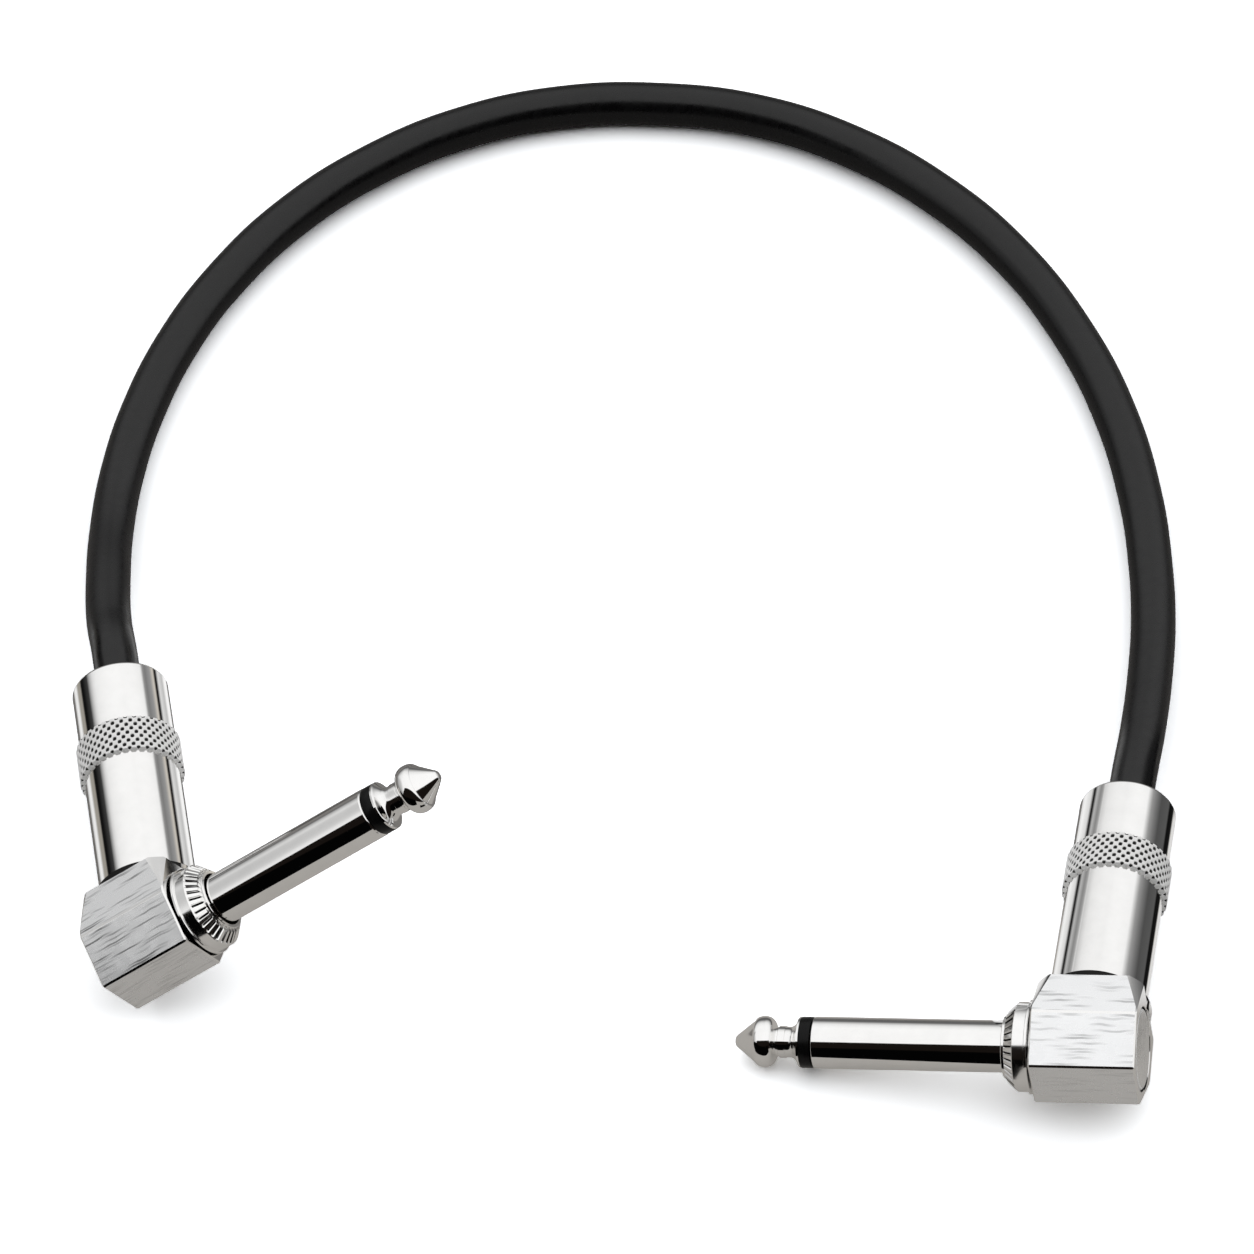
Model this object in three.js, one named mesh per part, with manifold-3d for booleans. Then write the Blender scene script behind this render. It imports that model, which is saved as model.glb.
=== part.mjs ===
// A short instrument patch cable: one black cable with a right-angle 6.35 mm mono plug on each end,
// lying on a flat surface at z = 0. Millimetres, +Z up.
//
// Both plugs are the same and are built in the plug's own frame, then turned and placed:
//   +X runs along the finger towards its tip, +Y along the barrel towards the cable,
//   and the two axes cross in the middle of the elbow block.

import * as THREE from 'three';
import { mergeVertices } from 'three/addons/utils/BufferGeometryUtils.js';
import Module from 'manifold-3d';

const wasm = await Module();
wasm.setup();

// ---------------------------------------------------------------- driving dimensions, in mm

const seatGap = 0.3; // between two faces that rest on each other
const runningGap = 0.3; // between a round piece and the bore round it
const thinGap = 0.2; // at the two ends of the tip insulator

// The elbow block: a hexagon bar along the finger with straight sides above its middle, and
// its four upper corners turned off round the barrel axis.
const blockHalfLength = 6.5;
const blockFlatHeight = 5.9; // finger axis to the flat opposite the barrel
const blockShoulderHeight = 6.0; // finger axis to the shoulder under the barrel
const cornerRadius = 8.2; // turned corners, at the shoulder
const cornerTaper = 12; // degrees that the turned corners widen downwards
const frontWall = 2.0; // block wall that the finger passes through
const cavityRadius = 4.9;

const bossRadius = 6.75;
const bossHeight = 0.7;
const neckRadius = 4.7;
const neckLength = 5.2; // above the boss, the part that carries the thread
const neckBoreRadius = 3.9;

const capRadius = 5.0;
const capThickness = 1.2;
const capChamfer = 0.2;

// The finger, counted from its apex back to the block.
const fingerLength = 33.2; // collar lip to apex
const sleeveRadius = 3.175;
const sleeveBoreRadius = 2.35;
const sleeveFlangeRadius = 4.4;
const sleeveFlangeThickness = 0.9;
const tipLength = 7.3;
const tipBluntRadius = 0.25;
const tipConeLength = 2.5;
const tipConeBaseRadius = 2.73; // where the cone rounds over into the bulb
const tipBulbRadius = 3.1;
const tipBulbMiddle = 3.4; // apex to the widest place
const tipBulbLength = 4.7;
const tipNeckRadius = 1.85;
const tipNeckLength = 1.2;
const tipFlareBend = 0.3; // the flare opens out this close to its rear end
const tipInsulatorLength = 1.3;
const tipInsulatorInset = 0.05; // below the sleeve's surface
const rodRadius = 1.2;
const rodHeadRadius = 2.0;
const rodHeadThickness = 0.6;
const rodInsulatorWall = 0.55;
const rearWasherRadius = 4.2;
const rearWasherThickness = 1.3;

const lugThickness = 0.5;
const lugRadius = 2.7;
const lugTailWidth = 2.2;
const lugTailReach = 7.6; // finger axis to the end of the tail
const lugEyeRadius = 0.55;

// The serrated collar at the root of the finger.
const collarRadius = 5.45;
const collarFootRadius = 5.75;
const collarFootThickness = 0.4;
const collarBandLength = 1.5;
const collarToothLength = 1.2; // along the finger, down the cone
const collarToothDepth = 0.4;
const collarTeeth = 36;
const collarLipRadius = 3.9;
const collarLipLength = 0.4;

// The barrel that screws on to the neck, with its raised knurled ring.
const barrelRadius = 6.0;
const barrelLength = 31.3;
const barrelWall = 1.0;
const barrelRearWall = 1.5;
const barrelRearRound = 0.5;
const barrelFrontChamfer = 0.25;
const ringStart = 17.3; // from the front end of the barrel
const ringLength = 4.9;
const ringRadius = 6.5;
const knurlDepth = 0.4;
const knurlDiamonds = 36; // round the ring
const knurlRows = 8; // half diamonds along the ring
const ringBevel = 0.15;

const liningWall = 0.3; // insulating sleeve inside the barrel

// The cable.
const cableRadius = 2.85;
const jacketWall = 0.6;
const braidWall = 0.3;
const coreWall = 0.6;
const stripStep = 2.6; // each layer is cut back this much from the one inside it
const conductorReach = 5.6; // finger axis to the end of the bare conductor
const layerEndStep = 0.3; // the inner layers stop a little short of the jacket at the mouth

const clampGap = 0.25;
const clampWall = 0.5;
const clampTongueStart = 9.0; // along the barrel axis, from the finger axis
const clampTongueLength = 12.0;
const clampTongueArc = 50; // degrees each side of the middle
const clampArmStart = 16.3;
const clampArmLength = 4.0;
const clampArmArc = 160;
const clampFacet = 18; // degrees of bend in each facet

const coarse = 16; // sides of the small round pieces inside
const fine = 24; // sides of the finger's round pieces
const wide = 32; // sides of the barrel, neck and turned corners
const overrun = 1; // a cutter passes this far beyond the face it opens

// How each plug lies: lean is the barrel's turn about the vertical, tilt the rise of the barrel
// towards the cable, roll the plug's turn about its barrel axis, all in degrees, and x, y the
// place of the elbow's centre. The height follows from the lowest point touching the surface.
const plugPoses = {
  left: { lean: 8.6, tilt: 1.0, roll: -36.2, x: -56.875, y: -7.203 },
  right: { lean: -9.2, tilt: -3.1, roll: 170.3, x: 56.488, y: -24.436 },
};

// The route of the free cable, chosen by hand, from the left plug to the right one: x, y and
// the rise above where the cable lies flat. Each end first runs straight out of its barrel
// for cableStraight.
const cableStraight = 6.0;
const cableBed = 0.05; // height of the flat cable's underside
const cableRoute = [
  [-64.5, 43.0, 5.7],
  [-65.0, 51.6, 3.9],
  [-65.0, 61.8, 1.5],
  [-64.1, 72.0, 0.2],
  [-62.0, 82.0, 0],
  [-57.7, 94.2, 0],
  [-51.6, 105.5, 0],
  [-43.2, 116.3, 0],
  [-33.0, 125.1, 0],
  [-21.1, 131.8, 0],
  [-8.3, 135.5, 0],
  [4.9, 136.1, 0],
  [17.9, 134.0, 0],
  [30.3, 128.5, 0],
  [41.7, 119.9, 0],
  [51.3, 108.8, 0],
  [58.6, 95.8, 0],
  [63.6, 82.0, 0],
  [66.4, 67.6, 0],
  [67.2, 57.0, 0.1],
  [67.2, 47.7, 0.6],
  [66.4, 37.8, 1.75],
  [65.1, 28.0, 3.25],
];
const cableSides = 12;
const cableSteps = 32;

// ---------------------------------------------------------------- materials

const metal = (colour, roughness) =>
  new THREE.MeshStandardMaterial({ color: colour, roughness, metalness: 1 });
const plastic = (colour, roughness) =>
  new THREE.MeshStandardMaterial({ color: colour, roughness, metalness: 0 });

const polishedNickel = metal(0xd9d8d4, 0.12);
const brushedNickel = metal(0xc9c8c5, 0.35);
const tinnedBrass = metal(0xcfc7b0, 0.35);
const braidedCopper = metal(0xb87f5a, 0.5);
const blackRubber = plastic(0x1b1c1e, 0.5);
const blackPlastic = plastic(0x0c0c0d, 0.35);
const greyFibre = plastic(0x8d8a84, 0.8);
const clearLining = plastic(0xe8e8e2, 0.4);
const whiteCore = plastic(0xe9e6dc, 0.5);

// ---------------------------------------------------------------- geometry helpers

// One closed surface: shared corners merged, flat slivers dropped, faces pointing out.
function closed(source) {
  const bare = source.index ? source.toNonIndexed() : source.clone();
  bare.deleteAttribute('normal');
  bare.deleteAttribute('uv');
  const merged = mergeVertices(bare, 1e-4);
  const corners = [];
  const index = merged.index.array;
  for (let i = 0; i < index.length; i += 3) {
    const [a, b, c] = [index[i], index[i + 1], index[i + 2]];
    if (a !== b && b !== c && c !== a) corners.push(a, b, c);
  }
  merged.setIndex(corners);
  if (signedVolume(merged) < 0) merged.setIndex(corners.reverse());
  return merged;
}

function signedVolume(geometry) {
  const place = geometry.attributes.position;
  const index = geometry.index.array;
  const [a, b, c] = [new THREE.Vector3(), new THREE.Vector3(), new THREE.Vector3()];
  let volume = 0;
  for (let i = 0; i < index.length; i += 3) {
    a.fromBufferAttribute(place, index[i]);
    b.fromBufferAttribute(place, index[i + 1]);
    c.fromBufferAttribute(place, index[i + 2]);
    volume += a.dot(b.cross(c)) / 6;
  }
  return volume;
}

function toSolid(geometry) {
  const mesh = closed(geometry);
  return new wasm.Manifold(
    new wasm.Mesh({
      numProp: 3,
      vertProperties: new Float32Array(mesh.attributes.position.array),
      triVerts: new Uint32Array(mesh.index.array),
    }),
  );
}

function toGeometry(solid) {
  const mesh = solid.getMesh();
  const geometry = new THREE.BufferGeometry();
  geometry.setAttribute('position', new THREE.BufferAttribute(mesh.vertProperties, 3));
  geometry.setIndex(new THREE.BufferAttribute(mesh.triVerts, 1));
  return geometry;
}

// A turned piece about the barrel axis, from [radius, y] points that close on themselves or
// start and end on the axis. alongFinger lays it along the finger instead.
function turned(profile, sides = coarse) {
  const points = profile.map(([radius, y]) => new THREE.Vector2(radius, y));
  return new THREE.LatheGeometry(points, sides);
}

function alongFinger(geometry) {
  return geometry.rotateZ(-Math.PI / 2);
}

function tubeProfile(inner, outer, start, end) {
  return [[inner, start], [outer, start], [outer, end], [inner, end], [inner, start]];
}

function discProfile(radius, start, end) {
  return [[0, start], [radius, start], [radius, end], [0, end]];
}

// A turned ring whose even and odd columns can have different radii, for teeth and knurls.
// Each row is [y, radius on even columns, radius on odd columns], and the rows close on
// themselves. Each cell is split along the diagonal that joins its two lower corners.
function toothed(rows, columns) {
  const places = [];
  rows.forEach(([y, even, odd]) => {
    for (let j = 0; j < columns; j += 1) {
      const angle = (2 * Math.PI * j) / columns;
      const radius = j % 2 === 0 ? even : odd;
      places.push(radius * Math.sin(angle), y, radius * Math.cos(angle));
    }
  });
  const index = [];
  rows.forEach((row, k) => {
    const nextK = (k + 1) % rows.length;
    const next = rows[nextK];
    for (let j = 0; j < columns; j += 1) {
      const nextJ = (j + 1) % columns;
      const [a, b] = [k * columns + j, k * columns + nextJ];
      const [c, d] = [nextK * columns + nextJ, nextK * columns + j];
      const [here, beside] = j % 2 === 0 ? [row[1], row[2]] : [row[2], row[1]];
      const [above, across] = j % 2 === 0 ? [next[1], next[2]] : [next[2], next[1]];
      if (here + across <= beside + above) index.push(a, b, c, a, c, d);
      else index.push(a, b, d, b, c, d);
    }
  });
  const geometry = new THREE.BufferGeometry();
  geometry.setAttribute('position', new THREE.Float32BufferAttribute(places, 3));
  geometry.setIndex(index);
  return geometry;
}

const radians = THREE.MathUtils.degToRad;

// ---------------------------------------------------------------- places that pieces share

const neckTop = blockShoulderHeight + bossHeight + neckLength;
const barrelFront = blockShoulderHeight + bossHeight + seatGap;
const barrelRear = barrelFront + barrelLength;
const barrelBoreRadius = barrelRadius - barrelWall;
const mouthRadius = cableRadius + runningGap;

const collarBack = blockHalfLength + seatGap;
const collarFront =
  collarBack + collarFootThickness + collarBandLength + collarToothLength + collarLipLength;
const apex = collarFront + fingerLength;
const tipRear = apex - tipLength;
const tipInsulatorFront = tipRear - thinGap;
const tipInsulatorRear = tipInsulatorFront - tipInsulatorLength;
const sleeveFront = tipInsulatorRear - thinGap;
const sleeveFlangeFront = blockHalfLength - frontWall - seatGap;
const sleeveRear = sleeveFlangeFront - sleeveFlangeThickness;
const rearWasherFront = sleeveRear - seatGap;
const rearWasherRear = rearWasherFront - rearWasherThickness;
const lugFront = rearWasherRear - seatGap;
const lugRear = lugFront - lugThickness;
const rodHeadFront = lugRear - seatGap;
const rodBoreRadius = rodRadius + runningGap;
const sleeveHoleRadius = sleeveRadius + runningGap;

// ---------------------------------------------------------------- the elbow and its cap

// The block's section across the finger: x is half its thickness, y runs towards the barrel.
function blockSection() {
  const halfFlat = blockFlatHeight * Math.tan(radians(30));
  const ridge = blockFlatHeight / Math.cos(radians(30));
  const section = new THREE.Shape();
  section.moveTo(-halfFlat, -blockFlatHeight);
  section.lineTo(halfFlat, -blockFlatHeight);
  section.lineTo(ridge, 0);
  section.lineTo(ridge, blockShoulderHeight);
  section.lineTo(-ridge, blockShoulderHeight);
  section.lineTo(-ridge, 0);
  section.closePath();
  return section;
}

function elbowBlock() {
  const bar = new THREE.ExtrudeGeometry(blockSection(), {
    depth: 2 * blockHalfLength,
    bevelEnabled: false,
  });
  bar.translate(0, 0, -blockHalfLength).rotateY(Math.PI / 2);

  const coneFoot = -blockFlatHeight - overrun;
  const footRadius =
    cornerRadius + (blockShoulderHeight - coneFoot) * Math.tan(radians(cornerTaper));
  const cornerCone = turned(
    [[0, coneFoot], [footRadius, coneFoot], [cornerRadius, blockShoulderHeight],
      [0, blockShoulderHeight]],
    wide,
  );

  const neck = turned(
    [[0, 0], [bossRadius, 0], [bossRadius, blockShoulderHeight + bossHeight],
      [neckRadius, blockShoulderHeight + bossHeight], [neckRadius, neckTop], [0, neckTop]],
    wide,
  );
  const neckBore = turned(discProfile(neckBoreRadius, 0, neckTop + overrun), coarse);
  const recessDepth = capThickness + seatGap;
  const recess = turned(
    discProfile(capRadius + runningGap, -blockHalfLength - overrun,
      -blockHalfLength + recessDepth),
    fine,
  );
  const cavity = turned(
    discProfile(cavityRadius, -blockHalfLength, blockHalfLength - frontWall),
    fine,
  );
  const fingerHole = turned(
    discProfile(sleeveHoleRadius, 0, blockHalfLength + overrun),
    fine,
  );

  return toGeometry(
    toSolid(bar)
      .intersect(toSolid(cornerCone))
      .add(toSolid(neck))
      .subtract(toSolid(neckBore))
      .subtract(toSolid(alongFinger(recess)))
      .subtract(toSolid(alongFinger(cavity)))
      .subtract(toSolid(alongFinger(fingerHole))),
  );
}

function endCap() {
  const inner = -blockHalfLength + capThickness;
  return alongFinger(
    turned(
      [[0, -blockHalfLength], [capRadius - capChamfer, -blockHalfLength],
        [capRadius, -blockHalfLength + capChamfer], [capRadius, inner], [0, inner]],
      fine,
    ),
  );
}

// ---------------------------------------------------------------- the finger

// The tip contact is one turned piece: cone, bulb, neck and flare, and the rod that runs back
// through the whole finger to a riveted head behind the solder lug.
function tipContact() {
  const coneEnd = apex - tipConeLength;
  const coneSlope = (tipConeBaseRadius - tipBluntRadius) / (tipConeLength - tipBluntRadius);
  const coneMeetsBulb = coneEnd - (tipBulbRadius - tipConeBaseRadius) / coneSlope;
  const neckFront = apex - tipBulbLength;
  const neckRear = neckFront - tipNeckLength;
  const outline = new THREE.Path();
  outline.moveTo(0, apex);
  outline.lineTo(tipBluntRadius, apex - tipBluntRadius);
  outline.lineTo(tipConeBaseRadius, coneEnd);
  outline.quadraticCurveTo(tipBulbRadius, coneMeetsBulb, tipBulbRadius, apex - tipBulbMiddle);
  outline.quadraticCurveTo(tipBulbRadius, neckFront, tipNeckRadius, neckFront);
  outline.lineTo(tipNeckRadius, neckRear);
  outline.quadraticCurveTo(tipNeckRadius, tipRear + tipFlareBend, sleeveRadius, tipRear);
  outline.lineTo(rodRadius, tipRear);
  outline.lineTo(rodRadius, rodHeadFront);
  outline.lineTo(rodHeadRadius, rodHeadFront);
  outline.lineTo(rodHeadRadius, rodHeadFront - rodHeadThickness);
  outline.lineTo(0, rodHeadFront - rodHeadThickness);
  return alongFinger(new THREE.LatheGeometry(outline.getPoints(3), fine));
}

function tipInsulator() {
  const outer = sleeveRadius - tipInsulatorInset;
  return alongFinger(
    turned(tubeProfile(rodBoreRadius, outer, tipInsulatorRear, tipInsulatorFront), fine),
  );
}

function fingerSleeve() {
  return alongFinger(
    turned(
      [[sleeveBoreRadius, sleeveRear], [sleeveFlangeRadius, sleeveRear],
        [sleeveFlangeRadius, sleeveFlangeFront], [sleeveRadius, sleeveFlangeFront],
        [sleeveRadius, sleeveFront], [sleeveBoreRadius, sleeveFront],
        [sleeveBoreRadius, sleeveRear]],
      fine,
    ),
  );
}

function rodInsulator() {
  const outer = rodBoreRadius + rodInsulatorWall;
  return alongFinger(
    turned(
      tubeProfile(rodBoreRadius, outer, rearWasherFront + seatGap, tipInsulatorRear - seatGap),
    ),
  );
}

function rearWasher() {
  return alongFinger(
    turned(tubeProfile(rodBoreRadius, rearWasherRadius, rearWasherRear, rearWasherFront)),
  );
}

// A stamped lug: a round eye on the rod and a tail up into the neck with a hole for the wire.
function tipLug() {
  const halfTail = lugTailWidth / 2;
  const tailAngle = Math.asin(halfTail / lugRadius);
  const plate = new THREE.Shape();
  plate.moveTo(halfTail, lugTailReach - halfTail);
  plate.absarc(0, lugTailReach - halfTail, halfTail, 0, Math.PI, false);
  plate.absarc(0, 0, lugRadius, Math.PI / 2 + tailAngle, Math.PI / 2 - tailAngle + 2 * Math.PI,
    false);
  plate.closePath();
  const rodHole = new THREE.Path().absarc(0, 0, rodBoreRadius, 0, 2 * Math.PI, true);
  const wireHole = new THREE.Path()
    .absarc(0, lugTailReach - halfTail, lugEyeRadius, 0, 2 * Math.PI, true);
  plate.holes.push(rodHole, wireHole);
  return new THREE.ExtrudeGeometry(plate, {
    depth: lugThickness,
    bevelEnabled: false,
    curveSegments: coarse / 2,
  })
    .rotateY(Math.PI / 2)
    .translate(lugRear, 0, 0);
}

function serratedCollar() {
  const bandStart = collarBack + collarFootThickness;
  const teethStart = bandStart + collarBandLength;
  const teethEnd = teethStart + collarToothLength;
  const toothStep = 0.1; // the teeth start just past the corner of the band
  const even = (y, radius) => [y, radius, radius];
  return alongFinger(
    toothed(
      [
        even(collarBack, sleeveHoleRadius),
        even(collarBack, collarFootRadius),
        even(bandStart, collarRadius),
        even(teethStart, collarRadius),
        [teethStart + toothStep, collarRadius - toothStep, collarRadius - collarToothDepth],
        [teethEnd, collarLipRadius + collarToothDepth, collarLipRadius],
        even(collarFront, collarLipRadius),
        even(collarFront, sleeveHoleRadius),
      ],
      2 * collarTeeth,
    ),
  );
}

// ---------------------------------------------------------------- the barrel and its lining

// The raised ring carries a knurl: a lattice of four-sided pyramids, with peaks where row and
// column are both even or both odd, and groove bottoms between them. Its inner face lies in
// the middle of the barrel's wall, which it is joined to.
function knurledRing() {
  const ringFront = barrelFront + ringStart;
  const ringRear = ringFront + ringLength;
  const rowStep = (ringLength - 2 * ringBevel) / knurlRows;
  const valley = ringRadius - knurlDepth;
  const buried = barrelRadius - barrelWall / 2;
  const knurl = Array.from({ length: knurlRows + 1 }, (unused, k) => {
    const y = ringFront + ringBevel + k * rowStep;
    return k % 2 === 0 ? [y, ringRadius, valley] : [y, valley, ringRadius];
  });
  return toothed(
    [[ringFront, buried, buried], ...knurl, [ringRear, buried, buried]],
    2 * knurlDiamonds,
  );
}

function knurledBarrel() {
  const roundStep = barrelRearRound * (1 - Math.SQRT1_2);
  const body = turned(
    [
      [barrelBoreRadius, barrelFront],
      [barrelRadius - barrelFrontChamfer, barrelFront],
      [barrelRadius, barrelFront + barrelFrontChamfer],
      [barrelRadius, barrelRear - barrelRearRound],
      [barrelRadius - roundStep, barrelRear - roundStep],
      [barrelRadius - barrelRearRound, barrelRear],
      [mouthRadius, barrelRear],
      [mouthRadius, barrelRear - barrelRearWall],
      [barrelBoreRadius, barrelRear - barrelRearWall],
      [barrelBoreRadius, barrelFront],
    ],
    wide,
  );
  return toGeometry(toSolid(body).add(toSolid(knurledRing())));
}

function barrelLining() {
  const outer = barrelBoreRadius - runningGap;
  const start = neckTop + seatGap;
  const end = barrelRear - barrelRearWall - seatGap;
  return turned(tubeProfile(outer - liningWall, outer, start, end), fine);
}

// ---------------------------------------------------------------- the cable inside the plug

// A bent sheet: a curved tongue that lies in the neck, and two arms closed round the jacket.
function cableClamp() {
  const inner = cableRadius + clampGap;
  const outer = inner + clampWall;
  const bentSheet = (arc, start, length) => {
    const shape = new THREE.Shape();
    const [from, to] = [radians(-90 - arc), radians(-90 + arc)];
    shape.absarc(0, 0, outer, from, to, false);
    shape.absarc(0, 0, inner, to, from, true);
    shape.closePath();
    return toSolid(
      new THREE.ExtrudeGeometry(shape, {
        depth: length,
        bevelEnabled: false,
        curveSegments: Math.ceil((2 * arc) / clampFacet),
      })
        .rotateX(-Math.PI / 2)
        .translate(0, start, 0),
    );
  };
  const tongue = bentSheet(clampTongueArc, clampTongueStart, clampTongueLength);
  const arms = bentSheet(clampArmArc, clampArmStart, clampArmLength);
  return toGeometry(tongue.add(arms));
}

// The stripped end of the cable: each layer reaches further into the block than the one
// round it, and all of them end just inside the barrel's mouth.
function cableLayers() {
  const braidOuter = cableRadius - jacketWall - runningGap;
  const coreOuter = braidOuter - braidWall - runningGap;
  const conductorRadius = coreOuter - coreWall - runningGap;
  const mouthEnd = barrelRear - seatGap;
  const coreStart = conductorReach + stripStep;
  const braidStart = coreStart + stripStep;
  const jacketStart = braidStart + stripStep;
  return {
    cable_end_jacket: turned(
      tubeProfile(cableRadius - jacketWall, cableRadius, jacketStart, mouthEnd),
    ),
    braid_shield: turned(
      tubeProfile(braidOuter - braidWall, braidOuter, braidStart, mouthEnd - layerEndStep),
    ),
    core_insulation: turned(
      tubeProfile(coreOuter - coreWall, coreOuter, coreStart, mouthEnd - 2 * layerEndStep),
    ),
    center_conductor: turned(
      discProfile(conductorRadius, conductorReach, mouthEnd - 3 * layerEndStep),
    ),
  };
}

// ---------------------------------------------------------------- assembly

function piece(name, geometry, material) {
  const mesh = new THREE.Mesh(closed(geometry), material);
  mesh.name = name;
  return mesh;
}

function plug(side, pose) {
  const layers = cableLayers();
  const group = new THREE.Group();
  group.add(
    piece(`${side}_elbow_block`, elbowBlock(), brushedNickel),
    piece(`${side}_end_cap`, endCap(), brushedNickel),
    piece(`${side}_tip_contact`, tipContact(), polishedNickel),
    piece(`${side}_tip_insulator`, tipInsulator(), blackPlastic),
    piece(`${side}_finger_sleeve`, fingerSleeve(), polishedNickel),
    piece(`${side}_rod_insulator`, rodInsulator(), whiteCore),
    piece(`${side}_rear_washer`, rearWasher(), greyFibre),
    piece(`${side}_tip_lug`, tipLug(), tinnedBrass),
    piece(`${side}_serrated_collar`, serratedCollar(), polishedNickel),
    piece(`${side}_barrel`, knurledBarrel(), polishedNickel),
    piece(`${side}_barrel_lining`, barrelLining(), clearLining),
    piece(`${side}_cable_clamp`, cableClamp(), tinnedBrass),
    piece(`${side}_cable_end_jacket`, layers.cable_end_jacket, blackRubber),
    piece(`${side}_braid_shield`, layers.braid_shield, braidedCopper),
    piece(`${side}_core_insulation`, layers.core_insulation, whiteCore),
    piece(`${side}_center_conductor`, layers.center_conductor, braidedCopper),
  );
  group.rotation.set(radians(pose.tilt), radians(pose.roll), radians(pose.lean), 'ZXY');
  group.position.set(pose.x, pose.y, 0);
  group.position.z = -new THREE.Box3().setFromObject(group, true).min.z;
  group.updateMatrixWorld(true);
  return group;
}

function freeCable(leftPlug, rightPlug) {
  const onAxis = (group, y) => group.localToWorld(new THREE.Vector3(0, y, 0));
  const straightOut = [barrelRear, barrelRear + cableStraight / 2, barrelRear + cableStraight];
  const route = new THREE.CatmullRomCurve3([
    ...straightOut.map((y) => onAxis(leftPlug, y)),
    ...cableRoute.map(([x, y, rise]) => new THREE.Vector3(x, y, cableBed + cableRadius + rise)),
    ...straightOut.reverse().map((y) => onAxis(rightPlug, y)),
  ]);
  const section = new THREE.Shape();
  for (let i = 0; i < cableSides; i += 1) {
    const angle = (2 * Math.PI * i) / cableSides;
    const [x, y] = [cableRadius * Math.cos(angle), cableRadius * Math.sin(angle)];
    if (i === 0) section.moveTo(x, y);
    else section.lineTo(x, y);
  }
  section.closePath();
  return new THREE.ExtrudeGeometry(section, { steps: cableSteps, extrudePath: route });
}

const leftPlug = plug('left', plugPoses.left);
const rightPlug = plug('right', plugPoses.right);
const patchCable = new THREE.Group();
patchCable.add(
  leftPlug,
  rightPlug,
  piece('cable_jacket', freeCable(leftPlug, rightPlug), blackRubber),
);

export default patchCable;
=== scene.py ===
"""A short instrument patch cable: a black cable with a right-angle 6.35 mm plug on each end.

Each plug is modelled in its own frame, in millimetres: +X runs along the finger towards its tip,
+Y along the barrel towards the cable, and the two axes cross in the middle of the elbow. The
pieces are then laid where the CAD plugs lie.
"""

import math

import bmesh
import bpy
from mathutils import Matrix, Vector


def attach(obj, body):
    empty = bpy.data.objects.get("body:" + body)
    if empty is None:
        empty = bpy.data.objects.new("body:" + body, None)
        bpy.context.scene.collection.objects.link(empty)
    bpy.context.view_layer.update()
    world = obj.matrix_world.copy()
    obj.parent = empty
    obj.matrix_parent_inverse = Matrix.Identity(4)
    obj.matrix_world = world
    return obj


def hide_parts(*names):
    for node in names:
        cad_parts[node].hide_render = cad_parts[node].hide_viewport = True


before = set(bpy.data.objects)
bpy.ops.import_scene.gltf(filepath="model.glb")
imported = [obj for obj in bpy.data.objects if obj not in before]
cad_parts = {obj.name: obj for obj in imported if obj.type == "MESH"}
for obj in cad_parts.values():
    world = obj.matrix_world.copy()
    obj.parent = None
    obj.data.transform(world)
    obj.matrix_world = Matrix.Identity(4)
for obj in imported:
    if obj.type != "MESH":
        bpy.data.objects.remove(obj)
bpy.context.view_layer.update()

# ---------------------------------------------------------------- camera
# A long lens, more than a metre back, looks down on the table. Its square frame takes in the
# whole cable.

millimetre = 0.001
camera_aim = Vector((0.000618, 0.048944, 0.0))
camera_distance = 1.1
camera_elevation = math.radians(51)

camera_data = bpy.data.cameras.new("camera")
camera_data.lens = 248.8
camera_data.sensor_width = 36.0
camera_data.clip_start = 0.01
camera_data.clip_end = 100.0
camera = bpy.data.objects.new("camera", camera_data)
camera.location = camera_aim + camera_distance * Vector(
    (0, -math.cos(camera_elevation), math.sin(camera_elevation))
)
camera.rotation_euler = (math.pi / 2 - camera_elevation, 0, 0)
bpy.context.scene.collection.objects.link(camera)
bpy.context.scene.camera = camera
bpy.context.scene.view_settings.view_transform = "Standard"

# ---------------------------------------------------------------- cable
# A 5.7 mm coaxial instrument cable in a smooth black PVC jacket. It leaves each barrel along
# the barrel's axis, comes down to the table and lies there in one wide loop.

cable_radius = 2.85
cable_bed = 0.05
barrel_rear = 38.3
cable_straight = 6.0
cable_route = [
    (-64.5, 43.0, 5.7),
    (-65.0, 51.6, 3.9),
    (-65.0, 61.8, 1.5),
    (-64.1, 72.0, 0.2),
    (-62.0, 82.0, 0.0),
    (-57.7, 94.2, 0.0),
    (-51.6, 105.5, 0.0),
    (-43.2, 116.3, 0.0),
    (-33.0, 125.1, 0.0),
    (-21.1, 131.8, 0.0),
    (-8.3, 135.5, 0.0),
    (4.9, 136.1, 0.0),
    (17.9, 134.0, 0.0),
    (30.3, 128.5, 0.0),
    (41.7, 119.9, 0.0),
    (51.3, 108.8, 0.0),
    (58.6, 95.8, 0.0),
    (63.6, 82.0, 0.0),
    (66.4, 67.6, 0.0),
    (67.2, 57.0, 0.1),
    (67.2, 47.7, 0.6),
    (66.4, 37.8, 1.75),
    (65.1, 28.0, 3.25),
]
plug_poses = {
    "left": {"lean": 8.6, "tilt": 1.0, "roll": -36.2, "centre": (-56.875, -7.203, 9.3351)},
    "right": {"lean": -9.2, "tilt": -3.1, "roll": 170.3, "centre": (56.488, -24.436, 9.8163)},
}


def turn_of(pose):
    """How a plug is turned: about its barrel, then up at the mouth, then round on the table."""
    lean = Matrix.Rotation(math.radians(pose["lean"]), 4, "Z")
    tilt = Matrix.Rotation(math.radians(pose["tilt"]), 4, "X")
    roll = Matrix.Rotation(math.radians(pose["roll"]), 4, "Y")
    return lean @ tilt @ roll


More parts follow.
